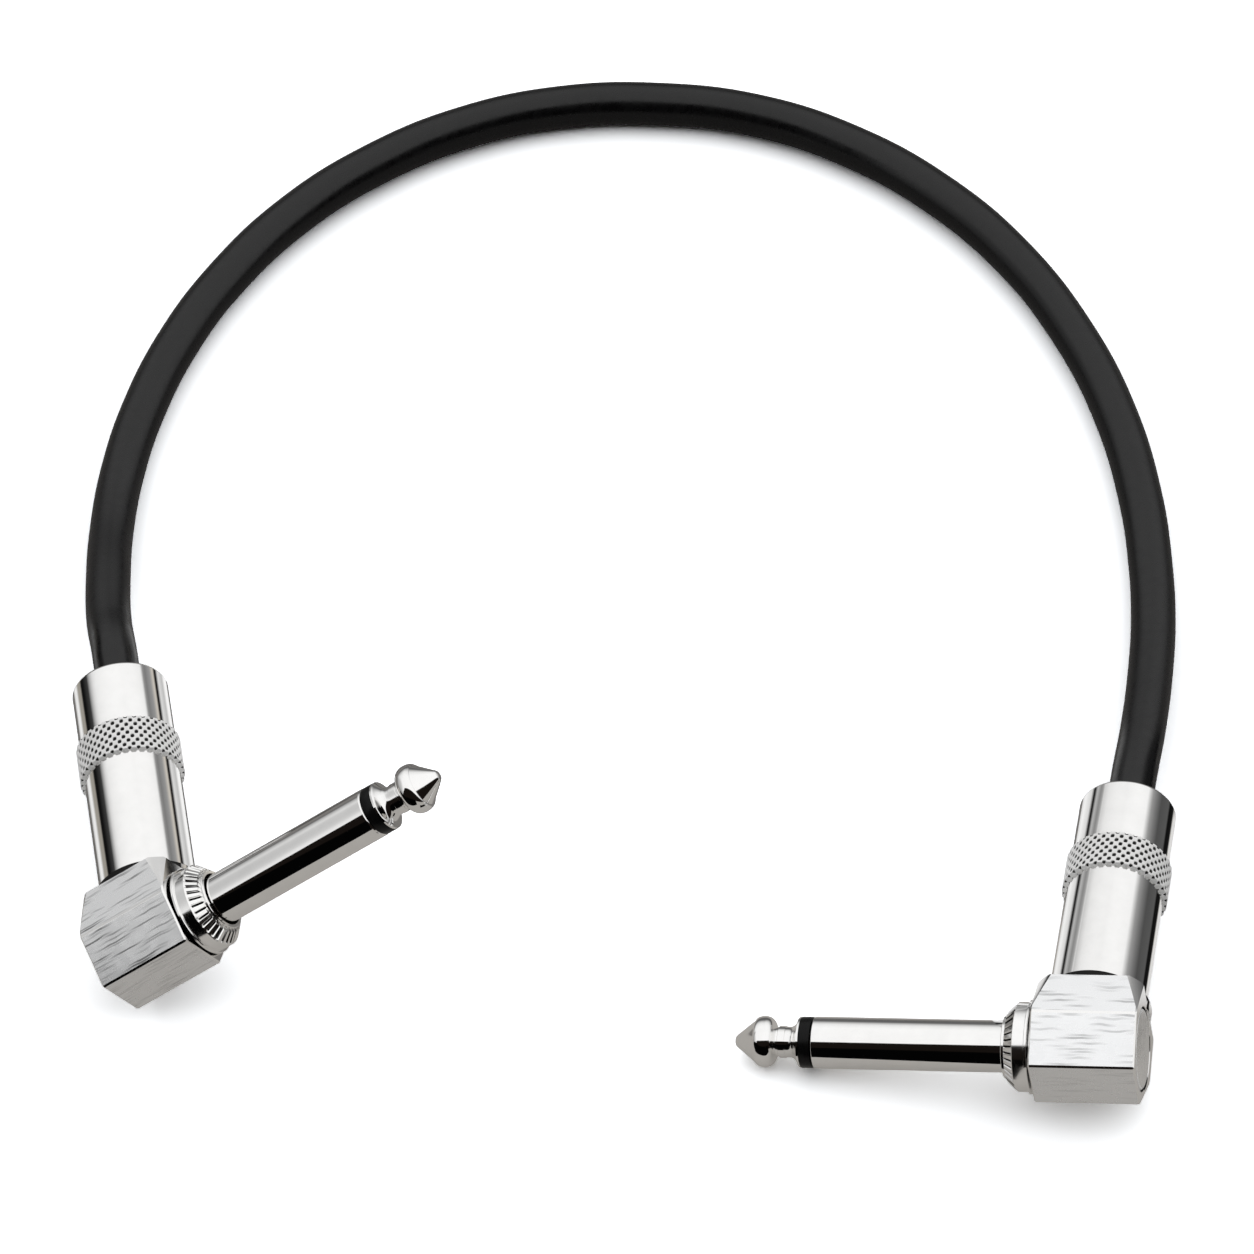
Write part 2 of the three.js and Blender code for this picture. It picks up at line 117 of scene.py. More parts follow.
places = {
    side: Matrix.Scale(millimetre, 4) @ Matrix.Translation(pose["centre"]) @ turn_of(pose)
    for side, pose in plug_poses.items()
}


def node(tree, kind, inputs=None, **settings):
    """Adds a node. An input is given a value, or the socket that feeds it."""
    made = tree.nodes.new(kind)
    for name, value in settings.items():
        setattr(made, name, value)
    for name, value in (inputs or {}).items():
        if isinstance(value, bpy.types.NodeSocket):
            tree.links.new(value, made.inputs[name])
        else:
            made.inputs[name].default_value = value
    return made


def new_material(name, finish):
    """A material and its shader, with the sockets that are the same all over it set."""
    made = bpy.data.materials.new(name)
    made.use_nodes = True
    shader = made.node_tree.nodes["Principled BSDF"]
    for socket, value in finish.items():
        shader.inputs[socket].default_value = value
    return made, made.node_tree, shader


def feed(tree, shader, sources):
    """Links what changes over the surface to the shader's sockets."""
    for socket, source in sources.items():
        tree.links.new(source, shader.inputs[socket])


def object_place(tree):
    return node(tree, "ShaderNodeTexCoord").outputs["Object"]


def noise_of(tree, vector, scale, detail):
    inputs = {"Vector": vector, "Scale": scale, "Detail": detail}
    return node(tree, "ShaderNodeTexNoise", inputs).outputs["Fac"]


def ranged(tree, value, start, end, low=0.0, high=1.0, way="LINEAR"):
    """Goes from low to high while the value goes from start to end."""
    inputs = {"Value": value, "From Min": start, "From Max": end, "To Min": low, "To Max": high}
    return node(tree, "ShaderNodeMapRange", inputs, interpolation_type=way).outputs["Result"]


def wander(tree, vector, scale, low=0.0, high=1.0):
    """A value that drifts between low and high over the surface."""
    return ranged(tree, noise_of(tree, vector, scale, detail=4.0), 0.3, 0.7, low, high)


def mixed(tree, mask, first, second):
    """A colour that goes from the first to the second as the mask goes from 0 to 1."""
    ends = {
        socket: colour if isinstance(colour, bpy.types.NodeSocket) else (*colour, 1)
        for socket, colour in ((6, first), (7, second))
    }
    return node(tree, "ShaderNodeMix", {0: mask, **ends}, data_type="RGBA").outputs[2]


def scaled(colour, gain):
    return tuple(gain * part for part in colour)


def bumped(tree, height, strength, depth):
    inputs = {"Height": height, "Strength": strength, "Distance": depth}
    return node(tree, "ShaderNodeBump", inputs).outputs["Normal"]


def black_pvc(name, colour, sheen, roughness):
    """Extruded black PVC: faint mottling and a fine pebbled skin."""
    made, tree, shader = new_material(name, {"Specular IOR Level": sheen})
    place = object_place(tree)
    mottling = wander(tree, place, scale=260.0)
    pebbles = noise_of(tree, place, scale=2600.0, detail=3.0)
    feed(tree, shader, {
        "Base Color": mixed(tree, mottling, colour, scaled(colour, 1.6)),
        "Roughness": wander(tree, place, scale=900.0, low=roughness - 0.05,
                            high=roughness + 0.07),
        "Normal": bumped(tree, pebbles, strength=0.12, depth=0.00006),
    })
    return made


def barrel_axis_point(side, along):
    return places[side] @ Vector((0, along, 0))


straight_out = (barrel_rear, barrel_rear + cable_straight / 2, barrel_rear + cable_straight)
cable_points = [barrel_axis_point("left", along) for along in straight_out]
cable_points += [
    Vector((x, y, cable_bed + cable_radius + rise)) * millimetre for x, y, rise in cable_route
]
cable_points += [barrel_axis_point("right", along) for along in reversed(straight_out)]

cable_curve = bpy.data.curves.new("cable", "CURVE")
cable_curve.dimensions = "3D"
cable_curve.resolution_u = 12
cable_curve.bevel_depth = cable_radius * millimetre
cable_curve.bevel_resolution = 7
cable_curve.use_fill_caps = True
spline = cable_curve.splines.new("BEZIER")
spline.bezier_points.add(len(cable_points) - 1)
for bend, place in zip(spline.bezier_points, cable_points):
    bend.co = place
    bend.handle_left_type = "AUTO"
    bend.handle_right_type = "AUTO"
cable = bpy.data.objects.new("cable", cable_curve)
bpy.context.scene.collection.objects.link(cable)
jacket_black = black_pvc("black_jacket", (0.002, 0.002, 0.0023), sheen=0.42, roughness=0.27)
cable_curve.materials.append(jacket_black)
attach(cable, "cable_and_plugs")
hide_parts("cable_jacket")

# ---------------------------------------------------------------- table and studio
# A white table under one wide overhead softbox. The room is dark behind the camera, and cards
# stand beside and before the plugs: they give polished metal its black, white and grey bands.

table_size = 8.0
table_colour = (0.86, 0.86, 0.86)
table_seen = (2.1, 2.13, 2.17)
table_mirrored = (0.24, 0.23, 0.22)


def blank_material(name):
    made = bpy.data.materials.new(name)
    made.use_nodes = True
    made.node_tree.nodes.clear()
    return made, made.node_tree


def loose_object(name, bm):
    mesh = bpy.data.meshes.new(name)
    bm.to_mesh(mesh)
    bm.free()
    made = bpy.data.objects.new(name, mesh)
    bpy.context.scene.collection.objects.link(made)
    return made


def stage_piece(name, bm, material):
    made = loose_object(name, bm)
    made.data.materials.append(material)
    return made


def math_node(tree, operation, *values):
    made = node(tree, "ShaderNodeMath", dict(enumerate(values)), operation=operation)
    return made.outputs[0]


def axes_of(tree, vector):
    return node(tree, "ShaderNodeSeparateXYZ", {0: vector}).outputs


def ramp_of(tree, value, stops):
    """A colour ramp through (position, level or colour) stops."""
    made = node(tree, "ShaderNodeValToRGB", {0: value})
    elements = made.color_ramp.elements
    elements.remove(elements[-1])
    for index, (position, level) in enumerate(stops):
        stop = elements[0] if index == 0 else elements.new(position)
        stop.position = position
        stop.color = (*level, 1) if isinstance(level, tuple) else (level, level, level, 1)
    return made.outputs["Color"]


table_white, table_tree = blank_material("table_white")
path = node(table_tree, "ShaderNodeLightPath").outputs
mirrored = math_node(table_tree, "MAXIMUM", path["Is Glossy Ray"], path["Is Transmission Ray"])
bounced = mixed(table_tree, mirrored, table_colour, table_mirrored)
paper_colour = mixed(table_tree, path["Is Camera Ray"], bounced, table_seen)
paper = node(table_tree, "ShaderNodeBsdfDiffuse", {"Color": paper_colour}).outputs[0]

# Metal mirrors a beige glow from the table before the plugs, almost nothing from behind them, and
# a light patch beside the right barrel. The places are (start, end) of a change, in metres.
mirrored_near = (0.235, 0.226, 0.212)
mirrored_far = (0.02, 0.02, 0.02)
mirrored_patch = (0.6, 0.6, 0.6)
far_half = (0.002, 0.010)
patch_left = (0.0635, 0.066)
patch_front = (-0.013, -0.009)
patch_back = (0.022, 0.018)
table_axes = axes_of(table_tree, object_place(table_tree))


def across_table(axis, start, end):
    """Goes from 0 to 1 across the table between two places on an axis."""
    return ranged(table_tree, table_axes[axis], start, end, way="SMOOTHSTEP")


patch_depth = math_node(table_tree, "MULTIPLY", across_table("Y", *patch_front),
                        across_table("Y", *patch_back))
patch = math_node(table_tree, "MULTIPLY", across_table("X", *patch_left), patch_depth)
glow_colour = mixed(table_tree, across_table("Y", *far_half), mirrored_near, mirrored_far)
glow_colour = mixed(table_tree, patch, glow_colour, mirrored_patch)
glow = node(table_tree, "ShaderNodeEmission", {"Color": glow_colour, "Strength": mirrored})
both = node(table_tree, "ShaderNodeAddShader", {0: paper, 1: glow.outputs[0]}).outputs[0]
node(table_tree, "ShaderNodeOutputMaterial", {"Surface": both})

table_bm = bmesh.new()
bmesh.ops.create_grid(table_bm, x_segments=1, y_segments=1, size=table_size / 2)
stage_piece("table", table_bm, table_white)

card_foot = 0.0003
card_far_end = 62.0
flag_black = 0.001
warm_grey = (0.34, 0.32, 0.285)
warm_light = (0.64, 0.60, 0.54)


def card(name, start, end, tones, front=None):
    """An upright card along a line on the table, which only mirrored rays see. Its tones run up
    from its foot as (height in mm, level). With a front, it is clear from behind."""
    top_height = tones[-1][0]
    made, tree = blank_material(name)
    share = math_node(tree, "DIVIDE", axes_of(tree, object_place(tree))["Z"],
                      top_height * millimetre)
    stops = [(height / top_height, level) for height, level in tones]
    surface = node(tree, "ShaderNodeEmission", {"Color": ramp_of(tree, share, stops)}).outputs[0]
    if front:
        behind = node(tree, "ShaderNodeNewGeometry").outputs["Backfacing"]
        clear = node(tree, "ShaderNodeBsdfTransparent").outputs[0]
        surface = node(tree, "ShaderNodeMixShader", {0: behind, 1: surface, 2: clear}).outputs[0]
    node(tree, "ShaderNodeOutputMaterial", {"Surface": surface})
    sheet = bmesh.new()
    foot = sheet.edges.new([sheet.verts.new((*point, card_foot)) for point in (start, end)])
    raised = bmesh.ops.extrude_edge_only(sheet, edges=[foot])["geom"]
    top = [item for item in raised if isinstance(item, bmesh.types.BMVert)]
    bmesh.ops.translate(sheet, verts=top, vec=(0, 0, top_height * millimetre))
    sheet.normal_update()
    if front and sheet.faces[:][0].normal.xy.dot(front) < 0:
        bmesh.ops.reverse_faces(sheet, faces=sheet.faces[:])
    stood = stage_piece(name, sheet, made)
    stood.visible_camera = False
    stood.visible_diffuse = False
    stood.visible_shadow = False


def beside_barrel(side, across, along):
    """A point on the table beside a barrel's axis, in millimetres from the plug's centre."""
    pose = plug_poses[side]
    turn = Matrix.Rotation(math.radians(pose["lean"]), 2)
    offset = turn @ Vector((across, along))
    return (Vector(pose["centre"]).xy + offset) * millimetre


def barrel_card(name, side, across, near, tones):
    """A card along a barrel. It faces the barrel, and is clear from behind."""
    start = beside_barrel(side, across, near)
    end = beside_barrel(side, across, card_far_end)
    card(name, start, end, tones, front=beside_barrel(side, 0, near) - start)


def flag(name, start, end, height):
    """A black card."""
    card(name, start, end, [(0, flag_black), (height, flag_black)])


barrel_card("left_outer_card", "left", across=-13.0, near=13.0, tones=[
    (0, 0.42), (4.5, 0.9), (6.5, 0.85), (8.3, warm_grey), (10.3, warm_grey), (11.3, 0.006),
    (12.5, 0.006), (15.4, 0.045), (17.2, 0.5),
])
barrel_card("left_inner_card", "left", across=12.5, near=5.0, tones=[
    (0, 1.0), (6, 0.98), (8.5, 0.55), (11.5, 0.75), (12.8, 0.02), (13.6, 0.003),
    (14.6, warm_light), (16.5, 0.32), (19.5, 0.21), (21, 0.3), (22.5, 0.85),
])
barrel_card("right_inner_card", "right", across=-12.5, near=5.0, tones=[
    (0, 0.7), (5, 0.95), (9.4, 0.74), (10.8, 0.015), (11.6, 0.015), (12.8, 0.5), (14.8, 0.26),
    (16.2, 0.36), (17.2, 0.7),
])
barrel_card("right_outer_card", "right", across=13.0, near=5.0, tones=[
    (0.3, warm_light), (1.6, 0.3), (2.4, 0.01), (6.8, 0.005), (8, 0.1), (13, 0.08), (16, 0.19),
    (19, 0.33), (23, 0.9),
])
flag("front_left_flag", (-0.20, -0.044), (-0.053, -0.044), height=36)
flag("left_finger_flag", (-0.053, -0.044), (-0.01, -0.085), height=40)
flag("front_right_flag", (-0.01, -0.038), (0.045, -0.038), height=15)

# The softbox fades out towards the horizon and to the far left and right. The dark room begins
# in front of the table, and leaves a lit strip on the far left.
side_lift = 0.35
softbox_strength = 1.04
softbox_rise = [(0.25, 0.13), (0.38, 0.42), (0.50, 0.66), (0.60, 0.84), (0.75, 0.94),
                (0.88, 1.0)]
softbox_across = [(0.05, 0.56), (0.07, 0.66), (0.09, 0.86), (0.11, 0.95), (0.5, 1.0)]
room_slope = 1.5
room_fade = 0.06
room_dark = (0.008, 0.006, 0.005)
strip_gain = 6.0
strip_edge = 0.70

world = bpy.data.worlds.new("studio")
world.use_nodes = True
bpy.context.scene.world = world
sky = world.node_tree
sky.nodes.clear()
axes = axes_of(sky, node(sky, "ShaderNodeTexCoord").outputs["Generated"])
aside = math_node(sky, "ABSOLUTE", axes["X"])
up_softbox = math_node(sky, "MULTIPLY_ADD", aside, side_lift, axes["Z"])
along_softbox = math_node(sky, "MULTIPLY_ADD", axes["X"], 0.5, 0.5)
softbox = math_node(sky, "MULTIPLY", ramp_of(sky, up_softbox, softbox_rise),
                    ramp_of(sky, along_softbox, softbox_across))
far_left = math_node(sky, "MULTIPLY_ADD", axes["X"], -strip_gain, -strip_gain * strip_edge)
strip = math_node(sky, "MAXIMUM", far_left, 0.0)
over_room = math_node(sky, "MULTIPLY_ADD", axes["Y"], room_slope, axes["Z"])
out_of_room = ranged(sky, math_node(sky, "ADD", over_room, strip), 0.0, room_fade,
                     way="SMOOTHSTEP")
studio = mixed(sky, out_of_room, room_dark, softbox)
studio_light = node(sky, "ShaderNodeBackground", {"Color": studio, "Strength": softbox_strength})
white_wall = node(sky, "ShaderNodeBackground", {"Color": (1, 1, 1, 1), "Strength": 1.0})
camera_ray = node(sky, "ShaderNodeLightPath").outputs["Is Camera Ray"]
seen_sky = node(sky, "ShaderNodeMixShader",
                {0: camera_ray, 1: studio_light.outputs[0], 2: white_wall.outputs[0]})
node(sky, "ShaderNodeOutputWorld", {"Surface": seen_sky.outputs[0]})

# ---------------------------------------------------------------- elbow block
# Each elbow is milled from a hexagon bar of nickel-plated brass that runs along the finger. Its
# sides are straight above the middle, and its upper corners are turned off to a slight cone
# round the barrel's axis. The flats are left brushed.

stock_size = 26.0
hexagon_turn = math.radians(30)
block_half_length = 6.5
block_flat = 5.9
block_ridge = block_flat / math.cos(hexagon_turn)
shoulder = 6.0
corner_radius = 8.2
corner_slope = math.tan(math.radians(12))
edge_break = 0.19
boss_radius = 6.75
boss_top = 6.7
boss_rounding = 0.1
neck_top = 11.9
neck_core_radius = 4.32
neck_bore_radius = 3.9
recess_radius = 5.15
recess_floor = -5.0
recess_chamfer = 0.1
chamfer_stand_off = 0.01
cavity_radius = 4.9
front_wall_back = 4.5
sleeve_hole_radius = 3.475
overcut = 1.0
merge_distance = 1e-4
spin_axes = {"X": Vector((1, 0, 0)), "Y": Vector((0, 1, 0))}


def turned(profile, axis, steps=128):
    """A surface turned from (along, radius) points round the finger's or the barrel's axis."""
    bm = bmesh.new()
    corners = [
        bm.verts.new((along, radius, 0) if axis == "X" else (radius, along, 0))
        for along, radius in profile
    ]
    edges = [bm.edges.new(pair) for pair in zip(corners, corners[1:])]
    bmesh.ops.spin(bm, geom=corners + edges, cent=(0, 0, 0), axis=spin_axes[axis],
                   angle=2 * math.pi, steps=steps, use_merge=True)
    bmesh.ops.remove_doubles(bm, verts=bm.verts[:], dist=merge_distance)
    bmesh.ops.recalc_face_normals(bm, faces=bm.faces[:])
    return bm


def disc(start, end, radius, axis, steps=96):
    return turned([(start, 0), (start, radius), (end, radius), (end, 0)], axis, steps)


def softened(bm, width, segments=3, angle=25):
    """Rounds every edge that is sharper than the angle."""
    sharp = [
        edge for edge in bm.edges
        if edge.is_manifold and edge.calc_face_angle() > math.radians(angle)
    ]
    bmesh.ops.bevel(bm, geom=sharp, affect="EDGES", offset=width, offset_type="OFFSET",
                    segments=segments, profile=0.5, material=-1, clamp_overlap=True)
    return bm


def machined(bm, kept=(), joined=(), cut=()):
    """The part of a solid inside others, with more joined to it and then more cut out of it."""
    stock = loose_object("stock", bm)
    tools = []
    steps = (("INTERSECT", kept), ("UNION", joined), ("DIFFERENCE", cut))
    for operation, solids in steps:
        for solid in solids:
            tool = loose_object("tool", solid)
            step = stock.modifiers.new(operation.lower(), "BOOLEAN")
            step.operation = operation
            step.solver = "EXACT"
            step.object = tool
            tools.append(tool)
    bpy.context.view_layer.update()
    result = bmesh.new()
    result.from_object(stock, bpy.context.evaluated_depsgraph_get())
    for made in [stock, *tools]:
        bpy.data.meshes.remove(made.data)
    bmesh.ops.remove_doubles(result, verts=result.verts[:], dist=merge_distance)
    return result


def finished(name, bm, side, body, materials, nodes=(), smooth=30):
    """Lays a piece where its plug lies, gives it its body and materials, and hides the CAD nodes
    that it replaces.
    """
    bmesh.ops.transform(bm, matrix=places[side], verts=bm.verts[:])
    made = loose_object(name, bm)
    made.data.shade_smooth()
    made.data.set_sharp_from_angle(angle=math.radians(smooth))
    for material in materials:
        made.data.materials.append(material)
    flat_faces = made.modifiers.new("flat_faces", "WEIGHTED_NORMAL")
    flat_faces.keep_sharp = True
    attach(made, body)
    if nodes:
        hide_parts(*nodes)
    return made


def hexagon_bar():
    """The bar, cut flat on every side, with its edges broken."""
    bm = bmesh.new()
    bmesh.ops.create_cube(bm, size=stock_size)
    flats = [((0, -1, 0), block_flat), ((0, 1, 0), shoulder)]
    for sign in (-1, 1):
        flats.append(((sign, 0, 0), block_half_length))
        flats.append(((0, 0, sign), block_ridge))
        flats.append(((0, -math.sin(hexagon_turn), sign * math.cos(hexagon_turn)), block_flat))
    for normal, distance in flats:
        normal = Vector(normal)
        cut = bmesh.ops.bisect_plane(bm, geom=bm.verts[:] + bm.edges[:] + bm.faces[:],
                                     plane_co=normal * distance, plane_no=normal,
                                     clear_outer=True, dist=1e-5)
        rim = [item for item in cut["geom_cut"] if isinstance(item, bmesh.types.BMEdge)]
        bmesh.ops.contextual_create(bm, geom=rim)
    bmesh.ops.recalc_face_normals(bm, faces=bm.faces[:])
    return softened(bm, edge_break, segments=1)


def corner_cone():
    """The cone that the block's upper corners are turned to."""
    below, above = -block_flat - overcut, shoulder + overcut
    low, high = (
        (height, corner_radius + (shoulder - height) * corner_slope) for height in (below, above)
    )
    return turned([(below, 0), low, high, (above, 0)], "Y", 160)


def cap_recess():
    """The recess for the end cap, with a chamfer at its mouth."""
    outside = -block_half_length - overcut
    mouth = -block_half_length - chamfer_stand_off
    return turned([(outside, 0), (outside, recess_radius + recess_chamfer),
                   (mouth, recess_radius + recess_chamfer),
                   (mouth + recess_chamfer, recess_radius), (recess_floor, recess_radius),
                   (recess_floor, 0)], "X")


def elbow_block():
    """The bar with its corners turned, its boss and neck, and its holes."""
    boss = softened(disc(0, boss_top, boss_radius, "Y", 128), boss_rounding)
    neck = disc(0, neck_top, neck_core_radius, "Y")
    holes = [
        disc(0, neck_top + overcut, neck_bore_radius, "Y"),
        cap_recess(),
        disc(recess_floor - overcut, front_wall_back, cavity_radius, "X"),
        disc(0, block_half_length + overcut, sleeve_hole_radius, "X"),
    ]
    return machined(hexagon_bar(), [corner_cone()], [boss, neck], holes)


boss_seam = (shoulder + 0.05, boss_top + 0.01)
cap_seam = (recess_chamfer - block_half_length, recess_floor - 0.1)
cap_seam_radius = recess_radius + recess_chamfer
flats_down = (0.0, 0.5, 1.0)


def elbow_finish(face):
    """A face's material: 0 for a brushed flat, 1 for turned metal, and 2 for the painted shadow
    in the seams round the boss and the cap."""
    x, y, _ = face.normal
    centre = face.calc_center_median()
    round_boss = boss_seam[0] < centre.y < boss_seam[1] and abs(y) < 0.5
    round_cap = cap_seam[0] < centre.x < cap_seam[1] and abs(x) < 0.5
    if round_boss or round_cap and centre.yz.length < cap_seam_radius:
        return 2
    flat = abs(x) < 0.01 and min(abs(y + down) for down in flats_down) < 0.01
    return 0 if flat else 1


brushing_radius = 6.3
stray_scale = 0.35
row_shift = 10.0
stroke_ends = (0.3, 0.95)
stroke_strengths = (0.3, 1.0)
stroke_taper = 0.25
stroke_side = (0.46, 0.28)
grain_stretch = (0.3, 6.0, 6.0)


def strokes_group():
    """Brushing: fine strokes along X, in rows round the bar. Length is the longest stroke,
    Spacing the rows' distance, Amount the share of places that hold a stroke, and Wander how far
    a row strays. Height is the grain of the ground between them."""
    group = bpy.data.node_groups.new("brush_strokes", "ShaderNodeTree")
    group.interface.new_socket("Vector", in_out="INPUT", socket_type="NodeSocketVector")
    for name in ("Length", "Spacing", "Amount", "Wander"):
        group.interface.new_socket(name, in_out="INPUT", socket_type="NodeSocketFloat")
    for name in ("Mask", "Height"):
        group.interface.new_socket(name, in_out="OUTPUT", socket_type="NodeSocketFloat")
    given = node(group, "NodeGroupInput").outputs
    place = axes_of(group, given["Vector"])

    def worked_out(operation, *values):
        return math_node(group, operation, *values)

    round_bar = worked_out("MULTIPLY", worked_out("ARCTAN2", place["Y"], place["Z"]),
                           brushing_radius)
    stray = noise_of(group, given["Vector"], stray_scale, detail=1.0)
    across = worked_out("MULTIPLY_ADD", stray, given["Wander"], round_bar)
    row_place = worked_out("DIVIDE", across, given["Spacing"])
    row = worked_out("FLOOR", row_place)
    across_row = worked_out("FRACT", row_place)
    from_middle = worked_out("ABSOLUTE", worked_out("SUBTRACT", across_row, 0.5))

    chance = node(group, "ShaderNodeTexWhiteNoise", {"W": row}, noise_dimensions="1D").outputs
    shift = worked_out("MULTIPLY", chance["Value"], row_shift)
    stroke_place = worked_out("ADD", worked_out("DIVIDE", place["X"], given["Length"]), shift)
    stroke = worked_out("FLOOR", stroke_place)
    along = worked_out("FRACT", stroke_place)
    row_and_stroke = node(group, "ShaderNodeCombineXYZ", {0: row, 1: stroke}).outputs[0]
    chance = node(group, "ShaderNodeTexWhiteNoise", {"Vector": row_and_stroke},
                  noise_dimensions="2D").outputs
    extent, strength, _ = node(group, "ShaderNodeSeparateColor", {0: chance["Color"]}).outputs
    end = ranged(group, extent, 0.0, 1.0, *stroke_ends)
    mask = worked_out("LESS_THAN", chance["Value"], given["Amount"])
    for share in (
        ranged(group, along, 0.0, stroke_taper),
        ranged(group, worked_out("SUBTRACT", end, along), 0.0, stroke_taper),
        ranged(group, from_middle, *stroke_side),
        ranged(group, strength, 0.0, 1.0, *stroke_strengths),
    ):
        mask = worked_out("MULTIPLY", mask, share)

    stretched = node(group, "ShaderNodeVectorMath", {0: given["Vector"], 1: grain_stretch},
                     operation="MULTIPLY").outputs[0]
    grain = noise_of(group, stretched, scale=1.0, detail=2.0)
    node(group, "NodeGroupOutput", {"Mask": mask, "Height": grain})
    return group


brush_strokes = strokes_group()


def plug_frame(tree, side):
    """A point's place in the plug's own frame, in millimetres."""
    pose = plug_poses[side]
    frame_of_plug = node(
        tree,
        "ShaderNodeMapping",
        {"Vector": object_place(tree), "Location": Vector(pose["centre"]) * millimetre,
         "Rotation": turn_of(pose).to_euler(), "Scale": (millimetre,) * 3},
        vector_type="TEXTURE",
    )
    return frame_of_plug.outputs["Vector"]


def aged(name, finish, first, second, size, low, high):
    """A finish whose colour drifts between two, and whose roughness drifts from low to high."""
    made, tree, shader = new_material(name, finish)
    place = object_place(tree)
    feed(tree, shader, {
        "Base Color": mixed(tree, wander(tree, place, size), first, second),
        "Roughness": wander(tree, place, 2 * size, low, high),
    })
    return made


end_flat_edge = (0.02, 0.12)
end_flat_strokes = 0.4
ground_pale = 0.95


def brushed_nickel(side, tone, stroke_tone, brushing):
    """Brushed nickel plate: dark strokes along the finger on a pale satin ground. The flat on the
    elbow's end, away from the barrel, is brushed more faintly."""
    made, tree, shader = new_material(f"{side}_brushed_nickel", {"Metallic": 1.0})
    place = plug_frame(tree, side)
    strokes = node(tree, "ShaderNodeGroup", {"Vector": place, **brushing},
                   node_tree=brush_strokes).outputs
    start, end = (offset - block_flat for offset in end_flat_edge)
    off_end_flat = ranged(tree, axes_of(tree, place)["Y"], start, end, low=end_flat_strokes)
    mask = math_node(tree, "MULTIPLY", strokes["Mask"], off_end_flat)
    ground = mixed(tree, strokes["Height"], scaled(tone, ground_pale), tone)
    feed(tree, shader, {
        "Base Color": mixed(tree, mask, ground, scaled(tone, stroke_tone)),
        "Roughness": wander(tree, place, scale=0.6, low=0.24, high=0.30),
        "Normal": bumped(tree, strokes["Height"], strength=0.12, depth=0.00002),
    })
    return made


def bright_nickel(side, name, tone, roughness, scratches, metallic=1.0):
    """Polished nickel plate with a little haze and the finest hairlines."""
    made, tree, shader = new_material(f"{side}_{name}", {"Metallic": metallic})
    place = plug_frame(tree, side)
    hairlines = node(tree, "ShaderNodeGroup", {"Vector": place},
                     node_tree=brush_strokes).outputs["Height"]
    feed(tree, shader, {
        "Base Color": mixed(tree, wander(tree, place, scale=0.5), tone, scaled(tone, 0.96)),
        "Roughness": wander(tree, place, scale=0.8, low=roughness, high=1.5 * roughness),
        "Normal": bumped(tree, hairlines, scratches, depth=0.00001),
    })
    return made


block_brushing = {
    "left": {
        "tone": (0.945, 0.95, 0.955),
        "stroke_tone": 0.25,
        "brushing": {"Length": 9.0, "Spacing": 0.27, "Amount": 0.8, "Wander": 0.4},
    },
    "right": {
        "tone": (0.935, 0.942, 0.95),
        "stroke_tone": 0.5,
        "brushing": {"Length": 9.0, "Spacing": 0.36, "Amount": 0.65, "Wander": 0.6},
    },
}
nickel = (0.93, 0.925, 0.915)
# Painted shadow: a black finish laid in the seams round the boss, the cap and the knurled ring's
# rear, standing in for the shade in those gaps.
painted_seam_shadow = aged("painted_seam_shadow", {"Specular IOR Level": 0.2}, (0.004, 0.004, 0.004),
                  (0.008, 0.0075, 0.007), size=900.0, low=0.5, high=0.7)
turned_nickel = {}
for side in plug_poses:
    block = elbow_block()
    for face in block.faces:
        face.material_index = elbow_finish(face)
    turned_nickel[side] = bright_nickel(side, "turned_nickel", nickel, roughness=0.07,
                                        scratches=0.1)
    finished(f"{side}_elbow", block, side, "cable_and_plugs",
             [brushed_nickel(side, **block_brushing[side]), turned_nickel[side], painted_seam_shadow],
             [f"{side}_elbow_block"], smooth=20)

# ---------------------------------------------------------------- neck thread
# The barrel screws on to a fine right-hand thread of 0.75 mm pitch, cut on the elbow's neck. It
# shows when the barrel is unscrewed.

thread_radius = 4.7
thread_root = 4.25
thread_crest_width = 0.14
thread_root_width = 0.66
thread_pitch = 0.75
thread_start = 7.0
thread_turns = 6
thread_steps = 48
thread_section = [
    (-thread_root_width / 2, thread_root),
    (-thread_crest_width / 2, thread_radius),
    (thread_crest_width / 2, thread_radius),
    (thread_root_width / 2, thread_root),
]

for side in plug_poses:
    ridge = bmesh.new()
    first = ridge.faces.new([
        ridge.verts.new((radius, thread_start + along, 0)) for along, radius in thread_section
    ])
    bmesh.ops.spin(ridge, geom=[first], cent=(0, 0, 0), axis=spin_axes["Y"],
                   dvec=(0, thread_pitch / thread_steps, 0),
                   angle=2 * math.pi * thread_turns, steps=thread_steps * thread_turns,
                   use_merge=False)
    bmesh.ops.recalc_face_normals(ridge, faces=ridge.faces[:])
    finished(f"{side}_neck_thread", ridge, side, "cable_and_plugs",
             [turned_nickel[side]])

# ---------------------------------------------------------------- end cap
# A thin nickel-plated disc closes the hole behind the finger. It is pressed into a recess in the
# end of the block, and its edge is chamfered.

cap_radius = 5.0
cap_inner = -5.3
cap_chamfer = 0.3
cap_rounding = 0.05
# Painted highlight: pale, less metallic finishes that make the cap's chamfer and the knurl's
# front edge read as bright lines.
highlight_pale = (0.96, 0.96, 0.95)
highlight_white = (0.98, 0.98, 0.97)
cap_rim_highlight = aged("painted_rim_highlight", {"Metallic": 0.4}, highlight_pale, highlight_white, size=1500.0, low=0.3,
                high=0.45)


def cap_finish(face):
    """A face's material: 0 for the cap's face, 1 for its side and back, and 2 for its chamfer,
    whose pale finish is a painted highlight.
    """
    if -0.99 < face.normal.x < -0.3:
        return 2
    return 0 if face.normal.x < -0.5 else 1


